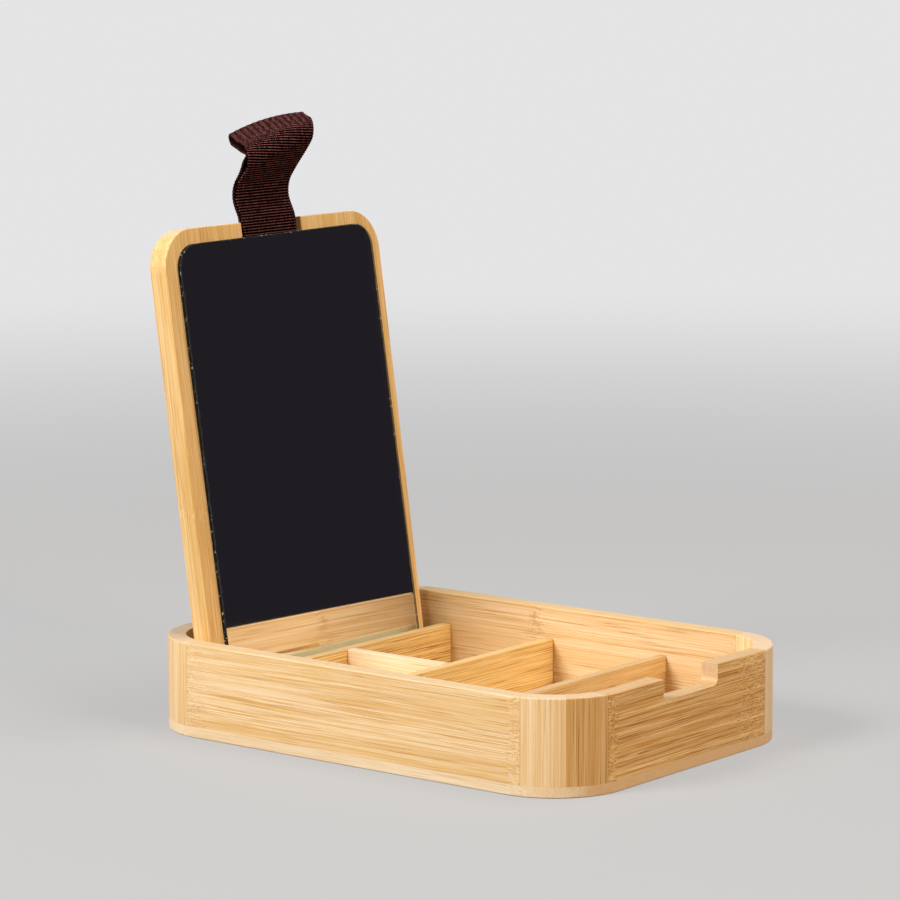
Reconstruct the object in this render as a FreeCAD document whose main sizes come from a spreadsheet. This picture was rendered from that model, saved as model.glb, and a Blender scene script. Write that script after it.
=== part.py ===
import FreeCAD, Part
import math
import os

import Sketcher

# Bamboo organizer tray with a lift-off mirror lid that stands in a slot at the rear.
# X runs along the tray to its notched front wall, Y goes away from the viewer's side ("near" is -Y),
# Z is up, and the origin is the middle of the tray's underside. Millimetres and degrees.

doc = FreeCAD.newDocument("OrganizerBoxWithMirror")
sheet = doc.addObject("Spreadsheet::Sheet", "Sizes")

driving_dimensions = {
    # tray
    "tray_length": (200.0, "outside length, X"),
    "tray_width": (143.0, "outside width, Y"),
    "tray_height": (35.0, "rim above the table"),
    "tray_corner": (28.5, "outside radius of the upright corners"),
    "wall_thick": (7.0, "thickness of the boards and posts"),
    "base_thick": (4.0, "thickness of the bottom panel"),
    "post_small": (22.2, "side of the near front corner post"),
    "post_large": (24.8, "side of the other three corner posts"),
    "soft_edge": (0.5, "sanded rounding of visible edges"),
    # notch for the strap in the front wall
    "notch_near": (-17.3, "Y of the notch's near side"),
    "notch_far": (16.1, "Y of the notch's far side"),
    "notch_floor": (27.3, "Z of the notch's bottom"),
    "notch_near_corner": (0.8, "radius in the notch's near bottom corner"),
    "notch_far_corner": (3.0, "radius in the notch's far bottom corner"),
    # dividers
    "divider_thick": (4.0, "thickness of the dividers"),
    "divider_top": (23.0, "Z of the dividers' tops"),
    "rear_divider_x": (-59.1, "X of the rear divider's front face"),
    "middle_divider_x": (-9.2, "X of the middle divider's front face"),
    "front_divider_x": (43.65, "X of the front divider's front face"),
    "lengthwise_divider_y": (1.2, "Y of the lengthwise divider's near face"),
    # lid slot
    "lid_lean": (8.22, "angle between the standing lid and upright"),
    "lid_face_x": (-72.42, "X of the lid's mirror side at the height of the rim"),
    "fit_gap": (0.1, "gap between the standing lid and what it touches"),
    "rail_thick": (4.0, "thickness of the rail behind the lid"),
    "rail_half_length": (61.2, "half the rail's length, which ends against the rounded corners"),
    "toe_height": (5.0, "height of the strip in front of the lid's foot"),
    # lid
    "lid_near": (-61.45, "Y of the lid's near edge"),
    "lid_far": (61.63, "Y of the lid's far edge"),
    "lid_top": (150.7, "lid's top end above the rim, along the lid"),
    "lid_foot": (30.07, "lid's foot below the rim, along the lid"),
    "lid_thick": (8.0, "thickness of the lid"),
    "lid_corner": (15.5, "radius of the lid's corners"),
    "groove_near": (-17.5, "Y of the strap groove's near side"),
    "groove_far": (16.8, "Y of the strap groove's far side"),
    "groove_length": (36.0, "strap groove's length from the lid's top end"),
    "groove_depth": (3.8, "strap groove's depth from the mirror side"),
    # mirror
    "glass_width": (110.75, "width of the mirror glass"),
    "glass_length": (169.85, "length of the mirror glass"),
    "glass_thick": (1.5, "thickness of the mirror glass"),
    "glass_corner": (9.3, "radius of the glass's corners"),
    "glass_arris": (0.35, "ground edge round the front of the glass"),
    "glass_centre_y": (0.91, "Y of the glass's middle"),
    "glass_centre_up": (60.3, "glass's middle above the rim, along the lid"),
    "glass_askew": (0.45, "turn of the glass in the lid's plane"),
    "coat_thick": (0.1, "thickness of the silver coat and its paint"),
    "coat_inset": (0.2, "bare rim of glass round the coat"),
    "tape_thick": (0.2, "thickness of the mounting tape"),
    "tape_width": (20.0, "width of a strip of tape"),
    "tape_length": (105.0, "length of a strip of tape"),
    "tape_spacing": (38.0, "distance between the strips of tape"),
    "tape_centre_up": (52.0, "tapes' middle above the rim, along the lid"),
    # strap, laid out flat: distances along it start in the groove, at strap_root above the rim
    "strap_width": (30.4, "width of the webbing"),
    "strap_thick": (2.4, "two layers of webbing"),
    "strap_centre_y": (0.64, "Y of the strap's middle"),
    "strap_recess": (1.4, "strap's front below the lid's mirror side"),
    "strap_root": (145.0, "start of the strap's measure above the rim, along the lid"),
    "strap_hinge": (7.3, "where the strap flexes, along the strap"),
    "strap_length": (61.6, "end of the loop, along the strap"),
    "strap_split": (0.3, "gap between the fixed tail and the loop"),
}
for row, (name, (amount, meaning)) in enumerate(driving_dimensions.items(), start=1):
    sheet.set(f"A{row}", meaning)
    sheet.set(f"B{row}", str(amount))
    sheet.setAlias(f"B{row}", name)
doc.recompute()

# The strap's three bends: start along the strap at its middle, skew of the bend's line from straight across,
# radius at the strap's front, and turn (forwards is positive).
strap_bends = [
    {"start": 6.4, "skew": 0.0, "radius": 8.1, "turn": -16.2},
    {"start": 12.3, "skew": 1.7, "radius": 9.4, "turn": 61.1},
    {"start": 32.5, "skew": 22.5, "radius": 5.35, "turn": -125.8},
]
bend_steps = (7, 10)  # sections of the loop round its second and third bend
loop_end_angles = (15, 40, 65)  # degrees round the loop's half-round ends at which they have a section

tolerance = 1e-4  # for finding edges by their place
region_overlap = 1  # how far the regions that cut up the frame reach past it

nodes = []


def size(expression):
    """The present value of an expression in the sheet's names."""
    return float(sheet.evalExpression(expression))


def bound(expression):
    """The same expression as another object of the document has to write it."""
    words = sorted(driving_dimensions, key=len, reverse=True)
    out, at = "", 0
    while at < len(expression):
        word = next((w for w in words if expression.startswith(w, at)), None)
        out += f"Sizes.{word}" if word else expression[at]
        at += len(word) if word else 1
    return out


def new_body(name, is_node=True):
    body = doc.addObject("PartDesign::Body", name)
    body.Label = name
    if is_node:
        nodes.append(body)
    return body


def rectangle(body, name, sides, plane="XY_Plane", height="0"):
    """A sketch of a rectangle. sides are the expressions of its left, right, lower and upper side."""
    sketch = body.newObject("Sketcher::SketchObject", f"{body.Name}_{name}")
    origin_plane = next(feature for feature in body.Origin.OriginFeatures if feature.Role == plane)
    sketch.AttachmentSupport = (origin_plane, [""])
    sketch.MapMode = "FlatFace"
    sketch.setExpression("AttachmentOffset.Base.z", bound(height))
    left, right, lower, upper = (size(side) for side in sides)
    corners = [(left, lower), (right, lower), (right, upper), (left, upper)]
    points = [FreeCAD.Vector(x, y, 0) for x, y in corners]
    for i in range(4):
        sketch.addGeometry(Part.LineSegment(points[i], points[(i + 1) % 4]))
    for i in range(4):
        sketch.addConstraint(Sketcher.Constraint("Coincident", i, 2, (i + 1) % 4, 1))
        sketch.addConstraint(Sketcher.Constraint("Vertical" if i % 2 else "Horizontal", i))
    # the first line starts in the lower left corner and the third in the upper right one
    for kind, line, label, place, side in (
        ("DistanceX", 0, "left", left, sides[0]),
        ("DistanceX", 2, "right", right, sides[1]),
        ("DistanceY", 0, "lower", lower, sides[2]),
        ("DistanceY", 2, "upper", upper, sides[3]),
    ):
        index = sketch.addConstraint(Sketcher.Constraint(kind, -1, 1, line, 1, place))
        sketch.renameConstraint(index, label)
        sketch.setExpression(f"Constraints.{label}", bound(side))
    return sketch


def pad(body, sketch, length, reverse=False):
    feature = body.newObject("PartDesign::Pad", f"{sketch.Name}_pad")
    feature.Profile = sketch
    feature.Reversed = reverse
    feature.setExpression("Length", bound(length))
    doc.recompute()
    return feature


def pocket(body, sketch, length, reverse=False):
    volume = body.Shape.Volume
    feature = body.newObject("PartDesign::Pocket", f"{sketch.Name}_pocket")
    feature.Profile = sketch
    feature.Reversed = reverse
    feature.setExpression("Length", bound(length))
    doc.recompute()
    if body.Shape.Volume > volume - 1.0:
        raise RuntimeError(f"{feature.Name} removes nothing")
    return feature


def edges_where(shape, wanted):
    """Names of the shape's edges for which wanted(edge) is true."""
    return [f"Edge{i}" for i, edge in enumerate(shape.Edges, start=1) if wanted(edge)]


def round_off(body, name, radius, wanted, kind="PartDesign::Fillet"):
    """Fillets, or chamfers, the edges of the body for which wanted(edge) is true."""
    base = body.Tip
    names = edges_where(base.Shape, wanted)
    if not names:
        raise RuntimeError(f"{body.Name} has no edge for {name}")
    feature = body.newObject(kind, f"{body.Name}_{name}")
    feature.Base = (base, names)
    feature.setExpression("Size" if kind.endswith("Chamfer") else "Radius", bound(radius))
    doc.recompute()
    return feature


def near(first, second):
    return abs(first - second) < tolerance


def along(edge, axis):
    """True for a straight edge parallel to the axis."""
    if not isinstance(edge.Curve, Part.Line):
        return False
    return near(abs(edge.Curve.Direction.dot(axis)), 1)


def level(edge, axis, place):
    """True for an edge that lies wholly at this place along the axis."""
    box = edge.BoundBox
    low, high = (FreeCAD.Vector(box.XMin, box.YMin, box.ZMin), FreeCAD.Vector(box.XMax, box.YMax, box.ZMax))
    return near(low.dot(axis), place) and near(high.dot(axis), place)


across_x = FreeCAD.Vector(1, 0, 0)
across_y = FreeCAD.Vector(0, 1, 0)
upward = FreeCAD.Vector(0, 0, 1)

outer_sides = ("-tray_length / 2", "tray_length / 2", "-tray_width / 2", "tray_width / 2")
inner_sides = (
    "wall_thick - tray_length / 2",
    "tray_length / 2 - wall_thick",
    "wall_thick - tray_width / 2",
    "tray_width / 2 - wall_thick",
)

# Bottom panel, whose edge shows as a band all round the foot of the walls
base_panel = new_body("base_panel")
pad(base_panel, rectangle(base_panel, "outline", outer_sides), "base_thick")
round_off(base_panel, "corners", "tray_corner", lambda edge: along(edge, upward))
round_off(base_panel, "foot", "soft_edge", lambda edge: level(edge, upward, 0.0))

# The whole frame of boards and corner posts, which is glued up square and then rounded as one piece
frame = new_body("frame_before_sawing", is_node=False)
frame_height = "tray_height - base_thick"
pad(frame, rectangle(frame, "outline", outer_sides, height="base_thick"), frame_height)
pocket(frame, rectangle(frame, "room", inner_sides, height="base_thick"), frame_height, reverse=True)
room_x = size("tray_length / 2 - wall_thick")
round_off(
    frame,
    "room_corners",
    "tray_corner - wall_thick",
    lambda edge: along(edge, upward) and near(abs(edge.CenterOfMass.x), room_x),
)
outer_x = size("tray_length / 2")
round_off(
    frame,
    "corners",
    "tray_corner",
    lambda edge: along(edge, upward) and near(abs(edge.CenterOfMass.x), outer_x),
)
rim = size("tray_height")
outer_y = size("tray_width / 2")
room_y = size("tray_width / 2 - wall_thick")


def on_rim(edge, half_length, half_width):
    """True for an edge at the rim's height that reaches one of the four sides at these distances."""
    box = edge.BoundBox
    at_end = near(box.XMax, half_length) or near(box.XMin, -half_length)
    at_side = near(box.YMax, half_width) or near(box.YMin, -half_width)
    return level(edge, upward, rim) and (at_end or at_side)


round_off(frame, "outer_rim", "soft_edge", lambda edge: on_rim(edge, outer_x, outer_y))
round_off(frame, "inner_rim", "soft_edge", lambda edge: on_rim(edge, room_x, room_y))
notch_sides = ("notch_near", "notch_far", "notch_floor", f"tray_height + {region_overlap}")
notch = rectangle(frame, "notch", notch_sides, plane="YZ_Plane", height="tray_length / 2")
pocket(frame, notch, "wall_thick")
notch_z = size("notch_floor")
for side in ("near", "far"):
    notch_y = size(f"notch_{side}")
    round_off(
        frame,
        f"notch_{side}_corner",
        f"notch_{side}_corner",
        lambda edge: along(edge, across_x)
        and near(edge.CenterOfMass.y, notch_y)
        and near(edge.CenterOfMass.z, notch_z),
    )


def cut_from_frame(name, region):
    """A board or post: what the frame and this region have in common."""
    piece = doc.addObject("Part::MultiCommon", name)
    piece.Shapes = [frame, region]
    piece.Label = name
    nodes.append(piece)


def place_at(shape, x, y, z):
    for axis, expression in zip("xyz", (x, y, z)):
        shape.setExpression(f"Placement.Base.{axis}", bound(expression))


# Straight boards between the posts. Each row gives the board's low X, low Y, length along X and length along Y.
boards = {
    "side_wall_near": (
        "post_large - tray_length / 2",
        f"-tray_width / 2 - {region_overlap}",
        "tray_length - post_large - post_small",
        "tray_width / 2",
    ),
    "side_wall_far": (
        "post_large - tray_length / 2",
        f"{region_overlap}",
        "tray_length - 2 * post_large",
        "tray_width / 2",
    ),
    "end_wall_front": (
        f"{region_overlap}",
        "post_small - tray_width / 2",
        "tray_length / 2",
        "tray_width - post_small - post_large",
    ),
    "end_wall_rear": (
        f"-tray_length / 2 - {region_overlap}",
        "post_large - tray_width / 2",
        "tray_length / 2",
        "tray_width - 2 * post_large",
    ),
}
for name, (low_x, low_y, length_x, length_y) in boards.items():
    region = doc.addObject("Part::Box", f"{name}_region")
    region.setExpression("Length", bound(length_x))
    region.setExpression("Width", bound(length_y))
    region.setExpression("Height", bound("tray_height"))
    place_at(region, low_x, low_y, f"{region_overlap}")
    cut_from_frame(name, region)

# Corner posts, each of two halves that meet on the diagonal through the tray's corner. One half is next to
# the side wall and the other next to the end wall. The corners go round the tray by quarter turns.
corners = {
    "front_near": (1, -1, "post_small"),
    "rear_near": (-1, -1, "post_large"),
    "rear_far": (-1, 1, "post_large"),
    "front_far": (1, 1, "post_large"),
}
for quarter, (corner, (sign_x, sign_y, post)) in enumerate(corners.items()):
    halves = {
        "side": (f"{sign_x} * (tray_length / 2 - {post})", f"{sign_y} * tray_width / 2", 90 * quarter),
        "end": (f"{sign_x} * tray_length / 2", f"{sign_y} * (tray_width / 2 - {post})", 90 * quarter + 180),
    }
    for half, (corner_x, corner_y, turn) in halves.items():
        name = f"post_{corner}_{half}"
        region = doc.addObject("Part::Wedge", f"{name}_region")
        region.Xmin = region.Ymin = region.Zmin = region.X2min = region.X2max = region.Z2min = 0
        region.setExpression("Xmax", bound(post))
        region.setExpression("Ymax", bound(post))
        region.setExpression("Zmax", bound("tray_height"))
        region.setExpression("Z2max", bound("tray_height"))
        region.Placement.Rotation = FreeCAD.Rotation(upward, turn)
        place_at(region, corner_x, corner_y, f"{region_overlap}")
        cut_from_frame(name, region)


def upright_board(name, sides, top, top_edges):
    """A board that stands on the bottom panel, with the named long top edges rounded."""
    board = new_body(name)
    pad(board, rectangle(board, "outline", sides, height="base_thick"), f"{top} - base_thick")
    if top_edges is not None:
        top_z = size(top)
        round_off(board, "top", "soft_edge", lambda edge: level(edge, upward, top_z) and along(edge, top_edges))


near_inside, far_inside = inner_sides[2], inner_sides[3]
for place in ("rear", "middle", "front"):
    face = f"{place}_divider_x"
    cross_sides = (f"{face} - divider_thick", face, near_inside, far_inside)
    upright_board(f"divider_{place}", cross_sides, "divider_top", across_y)
lengthwise_sides = (
    "rear_divider_x",
    "middle_divider_x - divider_thick",
    "lengthwise_divider_y",
    "lengthwise_divider_y + divider_thick",
)
upright_board("divider_lengthwise", lengthwise_sides, "divider_top", across_x)

# Standing lid: its own frame has X out of the mirror, Y as the tray's and Z up the lid. It turns about
# the line where the mirror side crosses the height of the rim.
lid_place = FreeCAD.Placement(
    FreeCAD.Vector(size("lid_face_x"), 0, size("tray_height")),
    FreeCAD.Rotation(across_y, -size("lid_lean")),
)


# Rail behind the lid and strip before its foot, which make the slot that holds it leaning. The rail's top
# front edge is next to the lid's back, and the strip is next to the foot's front edge.
rail_front = (
    "lid_face_x - (divider_top - tray_height) * tan(lid_lean * 1deg) - lid_thick / cos(lid_lean * 1deg) - fit_gap"
)
rail_sides = (f"{rail_front} - rail_thick", rail_front, "-rail_half_length", "rail_half_length")
upright_board("lid_rest_rail", rail_sides, "divider_top", None)
toe_front = "rear_divider_x - divider_thick"
toe_back = "lid_face_x + lid_foot * sin(lid_lean * 1deg) + fit_gap"
upright_board("lid_toe_strip", (toe_back, toe_front, near_inside, far_inside), "base_thick + toe_height", None)

lid_sides = ("lid_near", "lid_far", "-lid_foot", "lid_top")
lid_panel = new_body("lid_panel")
pad(lid_panel, rectangle(lid_panel, "outline", lid_sides, plane="YZ_Plane"), "lid_thick", reverse=True)
round_off(lid_panel, "corners", "lid_corner", lambda edge: along(edge, across_x))
for side, depth in (("front", 0.0), ("back", -size("lid_thick"))):
    round_off(lid_panel, f"{side}_edge", "soft_edge", lambda edge: level(edge, across_x, depth))
groove_sides = ("groove_near", "groove_far", "lid_top - groove_length", f"lid_top + {region_overlap}")
pocket(lid_panel, rectangle(lid_panel, "groove", groove_sides, plane="YZ_Plane"), "groove_depth")
lid_panel.Placement = lid_place

# Mirror: tape, silver coat and glass on the lid's mirror side, turned a little askew
mirror_place = lid_place.multiply(
    FreeCAD.Placement(
        FreeCAD.Vector(0, size("glass_centre_y"), size("glass_centre_up")),
        FreeCAD.Rotation(across_x, size("glass_askew")),
    )
)


def mirror_layer(name, inset, height, thickness, arris=None):
    """A plate with the mirror's outline, less the inset, at this height on the lid, its front edge ground off."""
    layer = new_body(name)
    half_width = f"glass_width / 2 - {inset}"
    half_length = f"glass_length / 2 - {inset}"
    sides = (f"-({half_width})", half_width, f"-({half_length})", half_length)
    pad(layer, rectangle(layer, "outline", sides, plane="YZ_Plane", height=height), thickness)
    round_off(layer, "corners", f"glass_corner - {inset}", lambda edge: along(edge, across_x))
    if arris is not None:
        front = size(f"{height} + {thickness}")
        round_off(layer, "arris", arris, lambda edge: level(edge, across_x, front), kind="PartDesign::Chamfer")
    layer.Placement = mirror_place


mirror_layer("mirror_glass", "0", "tape_thick + coat_thick", "glass_thick", arris="glass_arris")
mirror_layer("mirror_silver_coat", "coat_inset", "tape_thick", "coat_thick")

tapes = []
for step in (-1, 0, 1):
    tape = doc.addObject("Part::Box", f"mirror_tape_{step + 2}")
    tape.setExpression("Length", bound("tape_thick"))
    tape.setExpression("Width", bound("tape_width"))
    tape.setExpression("Height", bound("tape_length"))
    place_at(
        tape,
        "0",
        f"glass_centre_y + {step} * tape_spacing - tape_width / 2",
        "tape_centre_up - tape_length / 2",
    )
    tapes.append(tape)
mirror_tapes = doc.addObject("Part::Compound", "mirror_tapes")
mirror_tapes.Links = tapes
mirror_tapes.Placement = lid_place
nodes.append(mirror_tapes)

# Strap: its tail lies straight in the groove, and its doubled loop stands free of the lid
strap_tail = new_body("strap_tail")
tail_top = "strap_root + strap_hinge - strap_thick / 2 - strap_split"
tail_sides = (
    "strap_centre_y - strap_width / 2",
    "strap_centre_y + strap_width / 2",
    "lid_top - groove_length + strap_recess",
    tail_top,
)
tail_outline = rectangle(strap_tail, "outline", tail_sides, plane="YZ_Plane", height="-strap_recess")
pad(strap_tail, tail_outline, "strap_thick", reverse=True)
strap_tail.Placement = lid_place


def bend(point, start, skew, radius, turn):
    """Bends flat space round a line across the strap.

    A point past the line, within radius times turn of it, goes round the bend, and the rest swings with it.
    Points are (out of the strap's front, across it, along it).
    """
    skew, turn = math.radians(skew), math.radians(turn)
    ahead = FreeCAD.Vector(0, -math.sin(skew), math.cos(skew))
    towards = FreeCAD.Vector(math.copysign(1, turn), 0, 0)
    line = FreeCAD.Vector(0, 0, start)
    past = (point - line).dot(ahead)
    arc = min(max(past, 0), radius * abs(turn))
    angle = arc / radius
    rest = point - line - ahead * arc
    forward, out = rest.dot(ahead), rest.dot(towards)
    sideways = rest - ahead * forward - towards * out
    swung = ahead * (forward * math.cos(angle) - out * math.sin(angle))
    swung += towards * (forward * math.sin(angle) + out * math.cos(angle))
    moved = ahead * (radius * math.sin(angle)) + towards * (radius * (1 - math.cos(angle)))
    return line + moved + swung + sideways


def strap_point(depth, across, distance):
    """A point of the flat strap, bent, in the lid's own frame."""
    point = FreeCAD.Vector(-depth, across, distance)
    for fold in reversed(strap_bends):
        point = bend(point, **fold)
    return point + FreeCAD.Vector(-size("strap_recess"), size("strap_centre_y"), size("strap_root"))


half_strap = size("strap_width / 2")
mid_depth = size("strap_thick / 2")


def strap_section(near_distance, far_distance, half_depth):
    """A four-cornered section across the strap, from its near edge to its far edge."""
    near_edge, far_edge = (-half_strap, near_distance), (half_strap, far_distance)
    points = [strap_point(mid_depth - half_depth, *near_edge), strap_point(mid_depth - half_depth, *far_edge)]
    points += [strap_point(mid_depth + half_depth, *far_edge), strap_point(mid_depth + half_depth, *near_edge)]
    return Part.makePolygon(points + points[:1])


def sections_round_bend(start, skew, radius, turn, steps):
    """Sections along the lines of one bend, from its first line to its last."""
    slope, lead = math.tan(math.radians(skew)), math.cos(math.radians(skew))
    arc = radius * math.radians(abs(turn))
    found = []
    for i in range(steps + 1):
        middle = start + arc * i / steps / lead
        found.append(strap_section(middle - half_strap * slope, middle + half_strap * slope, mid_depth))
    return found


# Both ends of the loop are rounded: the root round the line on which the strap flexes, the tip as a fold.
hinge, tip = size("strap_hinge"), size("strap_length") - mid_depth
root_sections = []
tip_sections = []
for angle in map(math.radians, loop_end_angles):
    setback, half_depth = mid_depth * math.cos(angle), mid_depth * math.sin(angle)
    root_sections.append(strap_section(hinge - setback, hinge - setback, half_depth))
    tip_sections.insert(0, strap_section(tip + setback, tip + setback, half_depth))
root_sections.append(strap_section(hinge, hinge, mid_depth))
tip_sections.insert(0, strap_section(tip, tip, mid_depth))
loop_sections = root_sections
for fold, steps in zip(strap_bends[1:], bend_steps):
    loop_sections += sections_round_bend(**fold, steps=steps)
loop_sections += tip_sections
strap_loop = doc.addObject("Part::Feature", "strap_loop")
strap_loop.Shape = Part.makeLoft(loop_sections, True, True)
strap_loop.Placement = lid_place
nodes.append(strap_loop)
hinge_point = lid_place.multVec(strap_point(mid_depth, 0, hinge))

doc.recompute()
for thing in doc.Objects:
    if "Invalid" in thing.State or "Error" in thing.State:
        raise RuntimeError(f"{thing.Name} failed: {thing.State}")
for node in nodes:
    if node.Shape.isNull() or not node.Shape.isValid() or not node.Shape.Solids:
        raise RuntimeError(f"{node.Label} has no valid solid")

os.makedirs("parts", exist_ok=True)
for node in nodes:
    node.Shape.exportStep(f"parts/{node.Label}.step")
    box = node.Shape.BoundBox
    print(
        f"{node.Label}: {len(node.Shape.Solids)} solid, {node.Shape.Volume / 1000:.2f} cm3, "
        f"X {box.XMin:.2f} to {box.XMax:.2f}, Y {box.YMin:.2f} to {box.YMax:.2f}, "
        f"Z {box.ZMin:.2f} to {box.ZMax:.2f}"
    )
print(f"{len(nodes)} nodes")
print(f"strap flexes about X {hinge_point.x:.3f}, Y {hinge_point.y:.3f}, Z {hinge_point.z:.3f}")
up_the_lid = lid_place.Rotation.multVec(upward)
print(f"lid slides along X {up_the_lid.x:.5f}, Z {up_the_lid.z:.5f}")
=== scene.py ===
import math

import bpy
import numpy as np
from mathutils import Matrix, Vector


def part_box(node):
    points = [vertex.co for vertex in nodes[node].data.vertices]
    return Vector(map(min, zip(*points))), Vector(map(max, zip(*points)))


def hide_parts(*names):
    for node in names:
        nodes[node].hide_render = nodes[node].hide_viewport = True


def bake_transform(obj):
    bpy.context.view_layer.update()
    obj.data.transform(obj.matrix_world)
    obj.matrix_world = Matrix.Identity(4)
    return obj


# Bamboo tray with dividers, a leaning mirror lid and a webbing loop, seen from the tray's near
# front corner. Metres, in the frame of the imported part: X to the notched front wall, Y away, Z up.

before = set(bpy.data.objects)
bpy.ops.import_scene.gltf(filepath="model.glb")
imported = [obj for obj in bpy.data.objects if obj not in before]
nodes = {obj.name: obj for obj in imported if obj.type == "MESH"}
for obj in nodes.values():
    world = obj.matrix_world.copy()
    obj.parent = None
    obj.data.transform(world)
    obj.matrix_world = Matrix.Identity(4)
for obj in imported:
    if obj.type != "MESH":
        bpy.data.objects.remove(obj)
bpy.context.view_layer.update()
scene = bpy.context.scene
scene.view_settings.view_transform = "Standard"
mm = 0.001
lidLean = 8.22  # degrees back from upright
print("frame loaded:", len(nodes), "nodes")


# Camera, lamps and stage

cameraSettings = {
    "place": (0.8511, -1.0866, 0.3118),
    "yaw": 38.342,  # degrees left of +Y
    "pitch": 8.534,  # degrees down
    "roll": -0.151,
    "lens": 152.85,
    "sensor": 36,  # millimetres, like the lens
    "clip": (0.05, 20),
}


def makeCamera(settings):
    data = bpy.data.cameras.new("photoCamera")
    camera = bpy.data.objects.new("photoCamera", data)
    scene.collection.objects.link(camera)
    data.lens, data.sensor_width = settings["lens"], settings["sensor"]
    data.clip_start, data.clip_end = settings["clip"]
    turn = Matrix.Rotation(math.radians(settings["yaw"]), 4, "Z")
    tilt = Matrix.Rotation(math.radians(90 - settings["pitch"]), 4, "X")
    roll = Matrix.Rotation(math.radians(settings["roll"]), 4, "Z")
    camera.matrix_world = Matrix.Translation(settings["place"]) @ turn @ tilt @ roll
    scene.camera = camera


# Each lamp: where it stands, what it looks at, its size, its power in watts and its colour
lampSettings = {
    "keyLamp": {
        "place": (-0.45, -1.2, 0.95),
        "aim": (0, 0, 0.05),
        "size": 0.6,
        "power": 30.5,
        "colour": (1.0, 0.98, 0.95),
    },
    "sideLamp": {
        "place": (1.25, -0.15, 0.7),
        "aim": (0, 0, 0.05),
        "size": 0.5,
        "power": 12.3,
        "colour": (1.0, 0.84, 0.65),
    },
    "topLamp": {
        "place": (0.25, 0.35, 1.3),
        "aim": (0, 0, 0),
        "size": 0.7,
        "power": 10,
        "colour": (1.0, 0.98, 0.95),
    },
}


def makeLamp(name, place, aim, size, power, colour):
    data = bpy.data.lights.new(name, "AREA")
    data.shape, data.size, data.energy, data.color = "SQUARE", size, power, colour
    lamp = bpy.data.objects.new(name, data)
    scene.collection.objects.link(lamp)
    lamp.location = place
    lamp.rotation_euler = (Vector(aim) - Vector(place)).to_track_quat("-Z", "Y").to_euler()


stageSettings = {
    "floorColour": (0.30, 0.297, 0.293),
    "bounceColour": (0.09, 0.09, 0.09),  # what the object gets back from the floor
    "floor": {"Roughness": 0.9, "Specular IOR Level": 0.1},
    "floorReach": 12.0,
    "backColour": (0.78, 0.78, 0.79),
    "floorGlow": 0.5,  # share of the background colour added near the object, all of it far off
    "sweep": (0.35, 1.6),  # the background colour takes over between these distances
    "worldStrength": 0.06,
}
# painted reflection: a dark card that glows faintly where the mirror looks; only reflections and
# rays through glass see it, so the mirror shows a dark reflection
reflectionCardSettings = {
    "place": (0.262, 0.396, 0.13),
    "facing": (0.64, 0.77, 0),
    "width": 0.46,
    "height": 0.39,
    "reflectionShader": {
        "Base Color": (0, 0, 0, 1),
        "Specular IOR Level": 0,
        # painted reflection: this faint glow is the colour the mirror shows
        "Emission Color": (0.0172, 0.0157, 0.0225, 1),
        "Emission Strength": 1,
    },
}
squareCorners = ((-1, -1), (1, -1), (1, 1), (-1, 1))


def makePlane(name, corners, material):
    mesh = bpy.data.meshes.new(name)
    mesh.from_pydata([tuple(corner) for corner in corners], [], [tuple(range(len(corners)))])
    mesh.materials.append(material)
    plane = bpy.data.objects.new(name, mesh)
    scene.collection.objects.link(plane)
    return plane


def seenRays(tree):
    rays = tree.nodes.new("ShaderNodeLightPath").outputs
    seen = mathNode(tree, "MAXIMUM", rays["Is Camera Ray"], rays["Is Glossy Ray"])
    return mathNode(tree, "MAXIMUM", seen, rays["Is Transmission Ray"])


def makeFloor(settings):
    material, tree, shader = newMaterial("floorPaper", settings["floor"])
    bounceColour, floorColour = opaque(settings["bounceColour"]), opaque(settings["floorColour"])
    floorColour = mixColour(tree, seenRays(tree), bounceColour, floorColour)
    feed(tree, shader.inputs["Base Color"], floorColour)
    # the paper sweeps into the background: its own pale glow takes over with the distance
    glow = tree.nodes.new("ShaderNodeEmission")
    glow.inputs["Color"].default_value = opaque(settings["backColour"])
    far = tree.nodes.new("ShaderNodeVectorMath")
    far.operation = "LENGTH"
    tree.links.new(tree.nodes.new("ShaderNodeTexCoord").outputs["Object"], far.inputs[0])
    share = ramp(tree, far.outputs["Value"], *settings["sweep"], settings["floorGlow"], 1)
    glowShare = mathNode(tree, "MULTIPLY", share, seenRays(tree))
    mixShaders(tree, glowShare, shader.outputs[0], glow.outputs[0])
    reach = settings["floorReach"]
    makePlane("floor", [(x * reach, y * reach, 0) for x, y in squareCorners], material)


def makeReflectionCard(settings):
    material = newMaterial("paintedMirrorReflection", settings["reflectionShader"])[0]
    place, facing = Vector(settings["place"]), Vector(settings["facing"]).normalized()
    side = Vector((-facing.y, facing.x, 0)) * settings["width"] / 2
    up = Vector((0, 0, settings["height"] / 2))
    reflectionCard = makePlane("reflectionCard", [place + side * x + up * y for x, y in squareCorners], material)
    # the camera never sees the card, and it neither lights nor shades anything: it only paints the
    # reflection
    reflectionCard.visible_camera = reflectionCard.visible_diffuse = reflectionCard.visible_shadow = False


def makeWorld(settings):
    world = bpy.data.worlds.new("studio")
    scene.world = world
    world.use_nodes = True
    tree = world.node_tree
    background = tree.nodes["Background"]
    background.inputs["Color"].default_value = opaque(settings["backColour"])
    strength = tree.nodes.new("ShaderNodeMapRange")
    tree.links.new(seenRays(tree), strength.inputs["Value"])
    strength.inputs["To Min"].default_value = settings["worldStrength"]
    strength.inputs["To Max"].default_value = 1
    tree.links.new(strength.outputs["Result"], background.inputs["Strength"])


# Shader helpers

def newMaterial(name, constants):
    material = bpy.data.materials.new(name)
    material.use_nodes = True
    tree = material.node_tree
    shader = tree.nodes["Principled BSDF"]
    for socketName, value in constants.items():
        shader.inputs[socketName].default_value = value
    return material, tree, shader


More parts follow.
